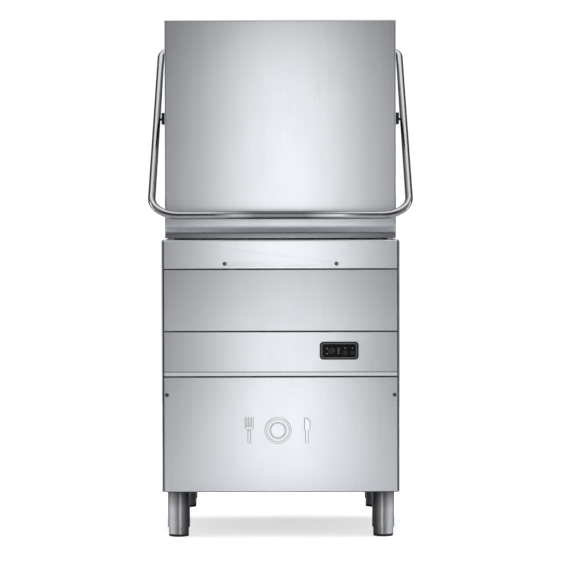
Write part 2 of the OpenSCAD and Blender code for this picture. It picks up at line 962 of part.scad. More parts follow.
module pump_rotor() {
    impeller_r = 50;
    shaft_x1 = 180;
    color("gray") {
        rod_x([-12, pump_y, pump_z], impeller_r, 4);
        for (a = [0 : 60 : 300])
            translate([0, pump_y, pump_z])
                rotate([a, 0, 0])
                    block([-12, shaft_r - 2, -1.5], [12, impeller_r - 4, 1.5]);
        rod_x([-12, pump_y, pump_z], shaft_r, shaft_x1 + 12);
    }
}

module suction_pipe() {
    bend_r = 34;
    bend_x = suction_x + bend_r;
    bend_z = pump_z + bend_r;
    end_x = -casing_t / 2 - clear;
    top_z = sump_lo[2] + tank_wall;
    module run(r, past) {
        rod_z([suction_x, pump_y, bend_z], r, top_z - bend_z + past);
        bend([bend_x, pump_y, bend_z], [-90, 0, 180], bend_r, r);
        rod_x([bend_x, pump_y, pump_z], r, end_x - bend_x + past);
    }
    color("dimgray")
        difference() {
            run(suction_r, 0);
            run(suction_r - 2, cut);
        }
}

module boiler() {
    low_z = plate_z + 2;
    h = 500 - low_z;
    wall = 2;
    stub_x = 45;
    stub_r = 10;
    stub_h = 20;
    color("silver") {
        translate(boiler_at)
            difference() {
                rod_z([0, 0, low_z], boiler_r, h);
                rod_z([0, 0, low_z + wall], boiler_r - wall, h - 2 * wall);
            }
        translate(boiler_at)
            for (x = [-stub_x, stub_x])
                rod_z([x, 0, low_z + h - cut], stub_r, stub_h);
        bed_plate(boiler_at[0] - boiler_r, boiler_at[0] + boiler_r);
    }
}

// Solenoid valve with its threaded inlet through the rear panel
module inlet_valve() {
    inlet_r = 13.2;
    inlet_len = 20;
    body_len = 60;
    flange_t = 6;
    coil = [32, 32, 45];
    back = -sheet - clear;
    color("goldenrod")
        translate([valve_x, back_y, valve_z]) {
            rod_y([0, back - body_len, 0], 15, body_len);
            rod_y([0, back - flange_t, 0], 19, flange_t);
            rod_y([0, back - 3, 0], inlet_r, inlet_len + 3);
            translate([-coil[0] / 2, back - body_len + 10, 10])
                cube(coil);
        }
}

module drain_spigot() {
    bend_r = 40;
    top_z = sump_lo[2] + tank_wall;
    bend_z = drain_z + bend_r;
    tail_y = back_y - overflow_at[1];
    tail_len = 30;
    module run(r, past) {
        rod_z([0, 0, bend_z], r, top_z - bend_z + past);
        bend([0, bend_r, bend_z], [0, 90, 180], bend_r, r);
        rod_y([0, bend_r, drain_z], r, tail_y + tail_len - bend_r + past);
    }
    color("dimgray")
        translate(overflow_at)
            difference() {
                union() {
                    run(drain_r, 0);
                    rod_y([0, tail_y, drain_z], drain_tail_r, tail_len);
                }
                run(drain_r - 2.5, cut);
            }
}

module cable_gland() {
    bore_r = 6.5;
    hex_r = 14;
    hex_h = 7;
    inner_len = 14;
    cap_len = 9;
    color("black")
        translate([gland_x, back_y, gland_z])
            difference() {
                union() {
                    rod_y([0, -inner_len, 0], gland_r, inner_len + hex_h);
                    rod_y([0, hex_h, 0], gland_r + 1, cap_len);
                    for (y = [0, -sheet - hex_h])
                        translate([0, y, 0])
                            rotate([-90, 0, 0])
                                cylinder(r = hex_r, h = hex_h, $fn = 6);
                }
                rod_y([0, -inner_len - cut, 0], bore_r, inner_len + hex_h + cap_len + 2 * cut);
            }
}

// ---------- Hood ----------

// The hood's outer form, or the space inside it when its faces are moved in by inset
module hood_block(inset, rear_y, bottom_z) {
    x = hood_w / 2 - inset;
    front = hood_front_y + inset;
    top = hood_top_z - inset;
    r = hood_fold_r;
    fold = r - inset;
    lip_z = hood_bottom_z + rim_lip_h;
    curve_n = 8;
    curve = [for (i = [1 : curve_n]) let (t = i / curve_n)
        [front + rim_step * pow(1 - t, 2), lip_z + rim_curve_h * t]];
    side_outline = concat(
        [[rear_y, top], [rear_y, bottom_z], [front + rim_step, bottom_z], [front + rim_step, lip_z]],
        curve,
        arc([hood_front_y + r, hood_top_z - r], fold, 180, 90));
    plan_outline = concat(
        [[x, rear_y + cut], [-x, rear_y + cut]],
        arc([r - hood_w / 2, hood_front_y + r], fold, 180, 270),
        arc([hood_w / 2 - r, hood_front_y + r], fold, 270, 360));
    intersection() {
        extrude_x(-x - cut, x + cut)
            polygon(side_outline);
        translate([0, 0, bottom_z - cut])
            linear_extrude(height = top - bottom_z + 2 * cut)
                polygon(plan_outline);
    }
}

module hood_shell() {
    flange_x = hood_w / 2 - rear_flange;
    color("gainsboro")
        difference() {
            hood_block(0, hood_rear_y, hood_bottom_z);
            hood_block(sheet, hood_rear_y - sheet, hood_bottom_z - cut);
            block([-flange_x, hood_rear_y - 20, hood_bottom_z - cut],
                  [flange_x, hood_rear_y + cut, hood_top_z - 18]);
        }
}

// Channels on the hood's sides, closed at the front, in which the handle's pins slide to and fro
module hood_guides() {
    h = guide_h / 2;
    x0 = hood_w / 2;
    y0 = guide_front_y;
    y1 = guide_front_y + guide_len;
    t = guide_wall;
    color("gray")
        both_sides()
            difference() {
                block([x0, y0, pin_z - h - t], [x0 + guide_d, y1, pin_z + h + t]);
                block([x0 + t, y0 + t, pin_z - h], [x0 + guide_d + cut, y1 + cut, pin_z + h]);
            }
}

module hood_carriage() {
    x = hood_w / 2 - 6;
    color("silver")
        for (z = carriage_zs)
            block([-x, hood_rear_y, z], [x, hood_rear_y + carriage_t, z + carriage_h]);
}

module hood_glides() {
    y0 = hood_rear_y + carriage_t;
    neck_x = column_slot / 2 - 1;
    head_x = column_w / 2 - 3;
    color("white")
        for (s = [-1, 1], z = carriage_zs)
            translate([s * column_x, 0, 0]) {
                block([-neck_x, y0, z], [neck_x, column_y + 5, z + carriage_h]);
                block([-head_x, column_y + 3, z], [head_x, column_y + 16, z + carriage_h]);
            }
}

// Rubber stops on the deck below the hood's front rim
module hood_buffers() {
    r = 5;
    pitch = 117;
    first_x = -217;
    color("black")
        for (i = [0 : 4])
            rod_z([first_x + i * pitch, hood_front_y + rim_step + 2, deck_z], r, hood_gap - 0.3);
}

// ---------- Lift mechanism ----------

// Upright channels with their slot to the front, and a bracket for each balance spring
module guide_columns() {
    w = column_w / 2;
    s = column_slot / 2;
    t = 2;
    y0 = column_y;
    y1 = column_y + column_d;
    profile = [[-w, y0], [-s, y0], [-s, y0 + t], [t - w, y0 + t], [t - w, y1 - t], [w - t, y1 - t],
               [w - t, y0 + t], [s, y0 + t], [s, y0], [w, y0], [w, y1], [-w, y1]];
    color("silver")
        both_sides() {
            translate([column_x, 0, deck_z])
                linear_extrude(height = column_top_z - deck_z)
                    polygon(profile);
            block([column_x + w, y1 - 12, anchor_z], [spring_x + 10, spring_y + 12, anchor_z + anchor_h]);
        }
}

module pivot_bearings() {
    x0 = column_x + column_w / 2;
    color("dimgray")
        both_sides()
            difference() {
                block([x0, pivot_y - 20, pivot_z - 20], [x0 + bearing_t, pivot_y + 20, pivot_z + 20]);
                rod_x([x0 - cut, pivot_y, pivot_z], tube_r + 0.05, bearing_t + 2 * cut);
            }
}

module rear_cover() {
    hole_r = 15;
    color("lightgray")
        difference() {
            union() {
                block([-cover_x, column_y, deck_z], [cover_x, cover_y, hood_top_z]);
                block([-cover_x - cover_flange, column_y, deck_z],
                      [cover_x + cover_flange, back_y, deck_z + sheet]);
            }
            block([sheet - cover_x, column_y - cut, deck_z - cut],
                  [cover_x - sheet, cover_y - sheet, hood_top_z - sheet]);
            rod_x([-cover_x - cut, pivot_y, pivot_z], hole_r, 2 * cover_x + 2 * cut);
            both_sides()
                for (y = cover_screw_ys)
                    rod_z([cover_screw_x, y, deck_z - cut], screw_r + clear, sheet + 2 * cut);
        }
}

// Moves what is drawn along -Y from the origin onto the arms, which slope down to the front
module at_handle() {
    translate([0, pivot_y, pivot_z])
        rotate([arm_angle, 0, 0])
            children();
}

// The handle's tube from end to end, with radius r
module handle_run(r, past) {
    bar_x = arm_x - front_bend_r;
    end_x = arm_x - rear_bend_r;
    rod_x([-bar_x, -arm_len, 0], r, 2 * bar_x);
    both_sides() {
        bend([bar_x, front_bend_r - arm_len, 0], [0, 0, -90], front_bend_r, r);
        rod_y([arm_x, front_bend_r - arm_len, 0], r, arm_len - front_bend_r - rear_bend_r);
        bend([end_x, -rear_bend_r, 0], [0, 0, 0], rear_bend_r, r);
        rod_x([tube_end_x - past, 0, 0], r, end_x - tube_end_x + past);
    }
}

module handle_tube() {
    wall = 1.5;
    color("whitesmoke")
        difference() {
            at_handle()
                handle_run(tube_r, 0);
            at_handle()
                handle_run(tube_r - wall, cut);
            both_sides()
                rod_x([arm_x - tube_r - cut, pin_y, pin_z], pin_r + clear, tube_r + cut);
        }
}

// Pins in the arms, each with a plastic sleeve that slides in its channel
module lift_pins() {
    x0 = hood_w / 2 + guide_wall + 2;
    sleeve_len = 14;
    color("gray")
        both_sides() {
            rod_x([x0, pin_y, pin_z], pin_sleeve_r, sleeve_len);
            rod_x([x0 + 1, pin_y, pin_z], pin_r, arm_x - x0 - 1);
        }
}

module balance_levers() {
    ring_r = 18;
    tip_r = 9;
    color("gray")
        at_handle()
            both_sides()
                difference() {
                    union() {
                        rod_x([lever_x, 0, 0], ring_r, lever_t);
                        block([lever_x, 0, -8], [lever_x + lever_t, lever_r, 8]);
                        rod_x([lever_x, lever_r, 0], tip_r, lever_t);
                        rod_x([lever_x, lever_r, 0], lever_pin_r, lever_t + 10);
                    }
                    rod_x([lever_x - cut, 0, 0], tube_r + 0.1, lever_t + 2 * cut);
                }
}

// The space of each balance spring, from its bracket to its lever
module balance_springs() {
    r = 12;
    coil_z0 = 900;
    coil_z1 = 1398;
    hook_r = 2;
    hook_z0 = anchor_z + anchor_h;
    hook_z1 = pivot_z + lever_r * sin(arm_angle) - lever_pin_r - clear;
    color("darkgray")
        both_sides() {
            rod_z([spring_x, spring_y, coil_z0], r, coil_z1 - coil_z0);
            rod_z([spring_x, spring_y, hook_z0], hook_r, hook_z1 - hook_z0);
        }
}

base_frame();
corner_posts();
foot_tubes();
mirror([1, 0, 0]) side_panel();  // left_side_panel
side_panel();  // right_side_panel
rear_panel();
front_fascia();
mid_panel();
control_panel();
lower_panel();
panel_screws();
control_bezel();
display_window();
indicator_lights();
control_box();
wash_tank();
top_deck();
rack_guide();
filter_trays();
sump_basket();
overflow_pipe();
tank_heater();
rear_wall();
wash_manifold();
arm_spindles();
guide_columns();
pivot_bearings();
rear_cover();
hood_buffers();
pump_casing();
pump_motor();
suction_pipe();
boiler();
inlet_valve();
drain_spigot();
cable_gland();
balance_springs();
hood_shell();
hood_guides();
hood_carriage();
hood_glides();
handle_tube();
lift_pins();
balance_levers();
wash_arm(lower_spindle_z, 1);  // lower_wash_arm
rinse_arm(lower_spindle_z, 1);  // lower_rinse_arm
wash_arm(upper_spindle_z, -1);  // upper_wash_arm
rinse_arm(upper_spindle_z, -1);  // upper_rinse_arm
pump_rotor();
press_button(power_at, power_r);  // power_button
press_button(cycle_at, key_r);  // cycle_button
press_button(drain_at, key_r);  // drain_button
foot_sleeve(0);  // foot_sleeve_fl
foot_sleeve(1);  // foot_sleeve_fr
foot_sleeve(2);  // foot_sleeve_rl
foot_sleeve(3);  // foot_sleeve_rr
foot_sole(0);  // foot_sole_fl
foot_sole(1);  // foot_sole_fr
foot_sole(2);  // foot_sole_rl
foot_sole(3);  // foot_sole_rr
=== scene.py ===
import math

import bmesh
import bpy
from mathutils import Matrix, Vector


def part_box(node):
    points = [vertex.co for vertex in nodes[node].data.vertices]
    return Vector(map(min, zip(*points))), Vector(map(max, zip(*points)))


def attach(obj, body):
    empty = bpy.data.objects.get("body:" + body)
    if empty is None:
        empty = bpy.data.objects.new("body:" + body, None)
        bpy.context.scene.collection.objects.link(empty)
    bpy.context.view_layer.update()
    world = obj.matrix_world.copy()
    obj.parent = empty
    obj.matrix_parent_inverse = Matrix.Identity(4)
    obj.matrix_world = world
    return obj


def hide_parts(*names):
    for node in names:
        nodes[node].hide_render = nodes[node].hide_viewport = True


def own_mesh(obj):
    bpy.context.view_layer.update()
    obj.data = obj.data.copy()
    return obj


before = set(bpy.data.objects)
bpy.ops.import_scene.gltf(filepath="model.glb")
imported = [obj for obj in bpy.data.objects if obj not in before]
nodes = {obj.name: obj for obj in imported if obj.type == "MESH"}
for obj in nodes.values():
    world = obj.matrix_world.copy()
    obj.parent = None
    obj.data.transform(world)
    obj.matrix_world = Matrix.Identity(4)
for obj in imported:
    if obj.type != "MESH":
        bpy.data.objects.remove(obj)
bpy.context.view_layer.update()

# ---------------------------------------------------------------- materials


class Surface:
    """One node material. Each method adds nodes and returns the socket that carries the result."""

    def __init__(self, name, metallic=0.0, **sockets):
        self.material = bpy.data.materials.new(name)
        self.material.use_nodes = True
        self.tree = self.material.node_tree
        self.bsdf = self.tree.nodes["Principled BSDF"]
        self.bsdf.inputs["Metallic"].default_value = metallic
        for key, value in sockets.items():
            self.bsdf.inputs[key.replace("_", " ")].default_value = value
        self.coords = self.node("ShaderNodeTexCoord").outputs["Object"]
        self.normal = None

    def node(self, kind, **values):
        n = self.tree.nodes.new(kind)
        for key, value in values.items():
            setattr(n, key, value)
        return n

    def link(self, source, target):
        self.tree.links.new(source, target)

    def noise(self, scale, detail=3.0, rough=0.5, offset=(0.0, 0.0, 0.0)):
        """Noise with its own scale along each axis, in cells per metre."""
        mapping = self.node("ShaderNodeMapping")
        mapping.inputs["Scale"].default_value = scale
        mapping.inputs["Location"].default_value = offset
        noise = self.node("ShaderNodeTexNoise")
        noise.inputs["Scale"].default_value = 1.0
        noise.inputs["Detail"].default_value = detail
        noise.inputs["Roughness"].default_value = rough
        self.link(self.coords, mapping.inputs["Vector"])
        self.link(mapping.outputs[0], noise.inputs["Vector"])
        return noise.outputs["Fac"]

    def remap(self, source, low, high, from_low=0.0, from_high=1.0):
        """low where the source is at from_low or under it, high at from_high or over it, and even between."""
        node = self.node("ShaderNodeMapRange")
        for index, value in enumerate((from_low, from_high, low, high), start=1):
            node.inputs[index].default_value = value
        self.link(source, node.inputs[0])
        return node.outputs[0]

    def math(self, operation, a, b=None):
        node = self.node("ShaderNodeMath", operation=operation)
        for index, value in enumerate((a, b)):
            if value is None:
                continue
            if isinstance(value, (int, float)):
                node.inputs[index].default_value = value
            else:
                self.link(value, node.inputs[index])
        return node.outputs[0]

    def axis(self, name):
        split = self.node("ShaderNodeSeparateXYZ")
        self.link(self.coords, split.inputs[0])
        return split.outputs[name]

    def blend(self, factor, a, b):
        """The colour a where factor is 0, and b where it is 1."""
        node = self.node("ShaderNodeMix", data_type="RGBA")
        node.inputs["A"].default_value = (*a, 1)
        node.inputs["B"].default_value = (*b, 1)
        self.link(factor, node.inputs["Factor"])
        return node.outputs["Result"]

    def scaled(self, colour, factor):
        """The colour, made darker where factor is below 1 and lighter where it is above."""
        node = self.node("ShaderNodeVectorMath", operation="SCALE")
        self.link(colour, node.inputs["Vector"])
        self.link(factor, node.inputs["Scale"])
        return node.outputs[0]

    def shaded(self, colour, painted_shading):
        """The colour, scaled in turn by each of the functions that paint light and shade on it."""
        for shadow in painted_shading:
            colour = self.scaled(colour, shadow(self))
        return colour

    def bump(self, height, depth):
        """Raises the surface by depth metres where height is 1."""
        node = self.node("ShaderNodeBump")
        node.inputs["Distance"].default_value = depth
        node.inputs["Strength"].default_value = 1.0
        self.link(height, node.inputs["Height"])
        if self.normal is not None:
            self.link(self.normal, node.inputs["Normal"])
        self.normal = node.outputs[0]

    def finish(self, colour, rough):
        self.link(colour, self.bsdf.inputs["Base Color"])
        self.link(rough, self.bsdf.inputs["Roughness"])
        if self.normal is not None:
            self.link(self.normal, self.bsdf.inputs["Normal"])
        return self.material


def shade(colour, factor):
    return tuple(min(1.0, c * factor) for c in colour)


# Cells per metre of the brushed grain: across the strokes, and along them
GRAIN_ACROSS = 700.0
GRAIN_ALONG = 5.0
STREAK_ACROSS = 90.0
STREAK_ALONG = 0.9


def grain_scale(direction, across, along):
    return tuple(along if axis == direction else across for axis in "XYZ")


def off_middle(s):
    """Distance from the machine's middle plane."""
    return s.math("ABSOLUTE", s.axis("X"))


# Brightness at a panel's outline, how deep that darkness is, and how far in the panel is clear of it
SEAM_DARK = 0.14
SEAM_DEPTH = 0.0004
SEAM_CLEAR = 0.0017
# How much further the darkness reaches in at the panels' sides
SEAM_SIDE = 0.0010


def seam_shade(s, part, open_top=False, foot=0.0):
    """Painted shade along the outline of a front panel, where its edges turn into the seams."""
    low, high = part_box(part)
    height = s.axis("Z")
    to_side = s.math("SUBTRACT", high.x - SEAM_SIDE, off_middle(s))
    to_end = s.math("SUBTRACT", height, low.z + foot)
    if not open_top:
        to_end = s.math("MINIMUM", to_end, s.math("SUBTRACT", high.z, height))
    return s.remap(s.math("MINIMUM", to_side, to_end), SEAM_DARK, 1.0, SEAM_DEPTH, SEAM_CLEAR)


# The crease between the hood's curved front and its lower rim, with the brightness in it, on the curve
# over it and on the lip under it
RIM_Z = 0.8455
RIM_DARK = 0.42
RIM_LIFT = 1.45
RIM_LIP = 0.46
# Heights over the crease: where the curve is brightest, where that fades, and where the shade in its
# middle ends
CURVE_BRIGHT = 0.006
CURVE_FADE = (0.012, 0.020)
CURVE_CLEAR = 0.070
LIP_FADE = (-0.007, -0.005)
# Brightness in the middle of the curve, and how far out it is full again
CURVE_MIDDLE = 0.80
CURVE_MIDDLE_X = (0.06, 0.24)


def rim_shade(s):
    """Painted shade in a crease over the hood's lower rim and on the lip under it, under a curve with painted
    light, but less so in the middle.
    """
    height = s.axis("Z")
    fade_low, fade_high = (RIM_Z + rise for rise in CURVE_FADE)
    above = s.remap(height, RIM_DARK, RIM_LIFT, RIM_Z, RIM_Z + CURVE_BRIGHT)
    above = s.math("MULTIPLY", above, s.remap(height, 1.0, 1.0 / RIM_LIFT, fade_low, fade_high))
    below = s.remap(height, RIM_LIP, 0.0, RIM_Z + LIP_FADE[0], RIM_Z + LIP_FADE[1])
    middle = s.remap(off_middle(s), CURVE_MIDDLE, 1.0, *CURVE_MIDDLE_X)
    clear = s.math("MAXIMUM", middle, s.remap(height, 0.0, 1.0, fade_low, RIM_Z + CURVE_CLEAR))
    return s.math("MAXIMUM", s.math("MULTIPLY", above, clear), below)


# The fold low on the control panel: brightness of its line and of the strip under it, half the thickness
# of the line where it is dark and where it ends, and the height over which the strip gets lighter
FOLD_Z = 0.4625
FOLD_DARK = 0.5
FOLD_HALF = (0.0010, 0.0026)
FOLD_STRIP = 1.2
FOLD_STRIP_FADE = 0.002


def fold_shade(s):
    """A line of painted shade on the fold, over a strip of painted light, which leans back."""
    height = s.axis("Z")
    line = s.remap(s.math("ABSOLUTE", s.math("SUBTRACT", height, FOLD_Z)), FOLD_DARK, 1.0, *FOLD_HALF)
    return s.math("MULTIPLY", line, s.remap(height, FOLD_STRIP, 1.0, FOLD_Z - FOLD_STRIP_FADE, FOLD_Z))


# The feet: brightness of the outer side, the outer edge and the inner side, with where each begins and
# ends, as shares of the radius outward from the foot's axis
FOOT_X = 0.286
FOOT_R = 0.031
FOOT_LIGHT = 2.6
FOOT_LIGHT_AT = (0.06, 0.42)
FOOT_EDGE = 0.42
FOOT_EDGE_AT = (0.62, 0.95)
FOOT_INNER = 0.42
FOOT_INNER_AT = (-0.6, -0.35)


def foot_shade(s):
    """A painted highlight on the outer side of each foot, and painted shade on its outer edge and its inner
    side.
    """
    outward = s.math("SUBTRACT", off_middle(s), FOOT_X)
    light = s.remap(outward, 1.0, FOOT_LIGHT, *(share * FOOT_R for share in FOOT_LIGHT_AT))
    edge = s.remap(outward, 1.0, FOOT_EDGE, *(share * FOOT_R for share in FOOT_EDGE_AT))
    inner = s.remap(outward, FOOT_INNER, 1.0, *(share * FOOT_R for share in FOOT_INNER_AT))
    return s.math("MULTIPLY", s.math("MULTIPLY", light, edge), inner)


# Brightness in the middle of the handle's crossbar, and how far out it is full again
BAR_DARK = 0.24
BAR_X = (0.07, 0.20)


def bar_shade(s):
    """Painted shade that takes down the glare on the middle of the handle's crossbar."""
    return s.remap(off_middle(s), BAR_DARK, 1.0, *BAR_X)


def height_shade(s, dark_z, clear_z, level):
    """Painted shade: full brightness at clear_z, falling to level at dark_z."""
    return s.remap(s.axis("Z"), level, 1.0, dark_z, clear_z)


def brushed_steel(name, base, roughness, direction="Z", wave=0.0004, seed=0.0, painted_shading=()):
    """Sheet steel with its strokes along one axis. The functions passed in paint light and shade on it."""
    s = Surface(name, metallic=1.0, Anisotropic=0.0)
    place = (seed, seed * 1.7, seed * 0.6)
    grain = s.noise(grain_scale(direction, GRAIN_ACROSS, GRAIN_ALONG), 4.0, 0.65, place)
    streak = s.noise(grain_scale(direction, STREAK_ACROSS, STREAK_ALONG), 3.0, 0.6, place)
    cloud = s.noise((5.0, 5.0, 4.0), 3.0, 0.55, place)
    smudge = s.noise((14.0, 14.0, 9.0), 5.0, 0.7, place)
    tone = s.math("ADD", s.math("MULTIPLY", grain, 0.45), s.math("MULTIPLY", streak, 0.35))
    tone = s.math("ADD", tone, s.math("MULTIPLY", cloud, 0.20))
    colour = s.blend(s.remap(tone, 0.0, 1.0, 0.3, 0.7), shade(base, 0.945), shade(base, 1.035))
    rough = s.math("ADD", s.remap(grain, -0.03, 0.03, 0.25, 0.75), s.remap(smudge, -0.01, 0.015, 0.3, 0.75))
    rough = s.math("ADD", rough, s.remap(streak, roughness - 0.006, roughness + 0.006, 0.3, 0.7))
    colour = s.shaded(colour, painted_shading)
    if wave:
        s.bump(cloud, wave)
    s.bump(grain, 0.00002)
    return s.finish(colour, rough)


def turned_steel(name, base, roughness, painted_shading=()):
    """Steel polished round an upright axis, which draws lights out into upright streaks."""
    s = Surface(name, metallic=1.0, Anisotropic=0.92, Anisotropic_Rotation=0.25)
    tangent = s.node("ShaderNodeTangent", direction_type="RADIAL", axis="Z")
    s.link(tangent.outputs[0], s.bsdf.inputs["Tangent"])
    rings = s.noise(grain_scale("Z", 6.0, 900.0), 3.0, 0.6)
    haze = s.noise((30.0, 30.0, 30.0), 4.0, 0.6)
    colour = s.blend(s.remap(rings, 0.0, 1.0, 0.3, 0.7), shade(base, 0.93), shade(base, 1.04))
    colour = s.shaded(colour, painted_shading)
    s.bump(rings, 0.000008)
    return s.finish(colour, s.remap(haze, roughness - 0.03, roughness + 0.03, 0.3, 0.7))


def polished_steel(name, base, roughness, painted_shading=()):
    s = Surface(name, metallic=1.0)
    haze = s.noise((30.0, 30.0, 30.0), 4.0, 0.6)
    scuff = s.noise((260.0, 60.0, 60.0), 4.0, 0.7)
    colour = s.blend(haze, shade(base, 0.95), shade(base, 1.03))
    colour = s.shaded(colour, painted_shading)
    rough = s.remap(haze, roughness - 0.03, roughness + 0.04, 0.3, 0.7)
    rough = s.math("ADD", rough, s.remap(scuff, 0.0, 0.08, 0.55, 0.9))
    s.bump(scuff, 0.000006)
    return s.finish(colour, rough)


def moulded(name, base, roughness, grain=600.0, depth=0.00003, **sockets):
    """Moulded plastic or rubber: fine grain, with dust and polish in patches."""
    s = Surface(name, **sockets)
    fine = s.noise((grain,) * 3, 3.0, 0.6)
    patch = s.noise((18.0,) * 3, 4.0, 0.6)
    dusty = tuple(c * 1.15 + 0.004 for c in base)
    colour = s.blend(s.remap(patch, 0.0, 1.0, 0.35, 0.75), shade(base, 0.85), dusty)
    rough = s.remap(patch, roughness - 0.06, roughness + 0.06, 0.3, 0.7)
    rough = s.math("ADD", rough, s.remap(fine, -0.04, 0.04))
    s.bump(fine, depth)
    return s.finish(colour, rough)


def cast_metal(name, base, roughness):
    s = Surface(name, metallic=1.0)
    pits = s.noise((420.0,) * 3, 4.0, 0.6)
    patch = s.noise((22.0,) * 3, 4.0, 0.6)
    colour = s.blend(patch, shade(base, 0.82), shade(base, 1.1))
    rough = s.remap(patch, roughness - 0.07, roughness + 0.07, 0.3, 0.7)
    rough = s.math("ADD", rough, s.remap(pits, -0.05, 0.05))
    s.bump(pits, 0.00006)
    return s.finish(colour, rough)


def lamp(name, base, glow):
    s = Surface(name, Emission_Strength=glow)
    s.bsdf.inputs["Emission Color"].default_value = (*base, 1)
    cell = s.noise((900.0,) * 3, 2.0, 0.5)
    return s.finish(s.blend(cell, shade(base, 0.9), base), s.remap(cell, 0.15, 0.3))


# Where the inner side of the side panels' front hems ends
HEM_INNER_X = 0.327


def hem_shade(s):
    """Painted shade on the inner side of a side panel's front hem, which faces the seam."""
    return s.remap(off_middle(s), SEAM_DARK, 1.0, HEM_INNER_X, HEM_INNER_X + SEAM_DEPTH)


# Brightness of an emblem's slopes, and how squarely a face must look forward to be a slope or a flat
SLOPE_DARK = 0.42
SLOPE_FACING = (0.75, 0.98)


def slope_shade(s):
    """Painted shade on the sloped sides of a raised emblem, whose faces look forward."""
    facing = s.node("ShaderNodeSeparateXYZ")
    s.link(s.node("ShaderNodeTexCoord").outputs["Normal"], facing.inputs[0])
    return s.remap(s.math("ABSOLUTE", facing.outputs["Y"]), SLOPE_DARK, 1.0, *SLOPE_FACING)


STEEL = (0.585, 0.602, 0.626)
# Painted shade, darker towards the top of each part: height where each is darkest, height where it is clear,
# and its brightness where it is darkest
MID_SHADE = (0.76, 0.52, 0.73)
LOWER_SHADE = (0.44, 0.18, 0.80)
FOOT_TOP_SHADE = (0.124, 0.078, 0.29)
LOWER_FOLD = 0.0016

M = {
    "hood": brushed_steel("hood_steel", STEEL, 0.365, seed=1.0, painted_shading=[rim_shade]),
    "fascia": brushed_steel("fascia_steel", STEEL, 0.38, seed=2.0, painted_shading=[
        lambda s: seam_shade(s, "front_fascia", open_top=True)]),
    # The mid and control panels' steel is made darker as painted shade, and the lower panel's lighter as
    # painted light.
    "mid": brushed_steel("mid_steel", shade(STEEL, 0.97), 0.42, seed=3.0, painted_shading=[
        lambda s: seam_shade(s, "mid_panel"),
        lambda s: height_shade(s, *MID_SHADE)]),
    "control": brushed_steel("control_steel", shade(STEEL, 0.88), 0.38, seed=4.0, painted_shading=[
        lambda s: seam_shade(s, "control_panel"), fold_shade]),
    "lower": brushed_steel("lower_steel", shade(STEEL, 1.12), 0.38, seed=5.0, painted_shading=[
        lambda s: seam_shade(s, "lower_panel", foot=LOWER_FOLD),
        lambda s: height_shade(s, *LOWER_SHADE)]),
    "side": brushed_steel("side_steel", STEEL, 0.38, wave=0.0008, seed=6.0, painted_shading=[hem_shade]),
    "rear": brushed_steel("rear_steel", shade(STEEL, 0.95), 0.37, wave=0.0008, seed=7.0),
    "deck": brushed_steel("deck_steel", STEEL, 0.30, direction="X", seed=8.0),
    "inner": brushed_steel("tank_steel", shade(STEEL, 0.92), 0.28, direction="X", seed=9.0),
    "frame": brushed_steel("frame_steel", shade(STEEL, 0.8), 0.42, direction="X", seed=10.0),
    "post": brushed_steel("post_steel", shade(STEEL, 0.8), 0.42, seed=11.0),
    # The feet's steel is made darker as painted shade.
    "foot": turned_steel("foot_steel", shade(STEEL, 0.62), 0.34, painted_shading=[
        lambda s: height_shade(s, *FOOT_TOP_SHADE), foot_shade]),
    "emblem": brushed_steel("emblem_steel", shade(STEEL, 1.03), 0.37, wave=0.0, seed=16.0, painted_shading=[
        slope_shade]),
    "screw": cast_metal("screw_metal", (0.10, 0.10, 0.105), 0.30),
    "turned": brushed_steel("turned_steel", shade(STEEL, 0.75), 0.3, direction="Y", wave=0.0, seed=13.0),
    "pipe": brushed_steel("pipe_steel", shade(STEEL, 0.95), 0.22, wave=0.0, seed=14.0),
    "tube": polished_steel("polished_tube", (0.40, 0.405, 0.42), 0.12, painted_shading=[bar_shade]),
    "spring": brushed_steel("spring_wire", shade(STEEL, 0.55), 0.35, direction="X", wave=0.0, seed=15.0),
    "heater": cast_metal("heater_sheath", (0.30, 0.28, 0.27), 0.4),
    "motor": cast_metal("motor_alloy", (0.33, 0.36, 0.40), 0.45),
    "brass": cast_metal("valve_brass", (0.66, 0.47, 0.22), 0.32),
    "pump": moulded("pump_plastic", (0.035, 0.04, 0.045), 0.45),
    "grey": moulded("grey_plastic", (0.11, 0.115, 0.12), 0.45),
    "glide": moulded("glide_plastic", (0.75, 0.75, 0.70), 0.4),
    "rubber": moulded("black_rubber", (0.012, 0.012, 0.012), 0.7, grain=350.0, depth=0.00008),
    "bezel": moulded("bezel_plastic", (0.016, 0.016, 0.019), 0.42, Specular_IOR_Level=0.2),
    "film": moulded("display_film", (0.002, 0.002, 0.003), 0.30, grain=250.0, depth=0.000004,
                    Specular_IOR_Level=0.06),
    "key": moulded("key_film", (0.004, 0.004, 0.006), 0.35, grain=250.0, depth=0.000006,
                   Specular_IOR_Level=0.10),
    "mark": moulded("key_marks", (0.075, 0.078, 0.085), 0.4),
    "trim": moulded("trim_line", (0.11, 0.115, 0.125), 0.4),
    "gland": moulded("gland_plastic", (0.02, 0.02, 0.02), 0.5),
    "lamp": lamp("lamp_white", (0.30, 0.32, 0.35), 0.12),
}

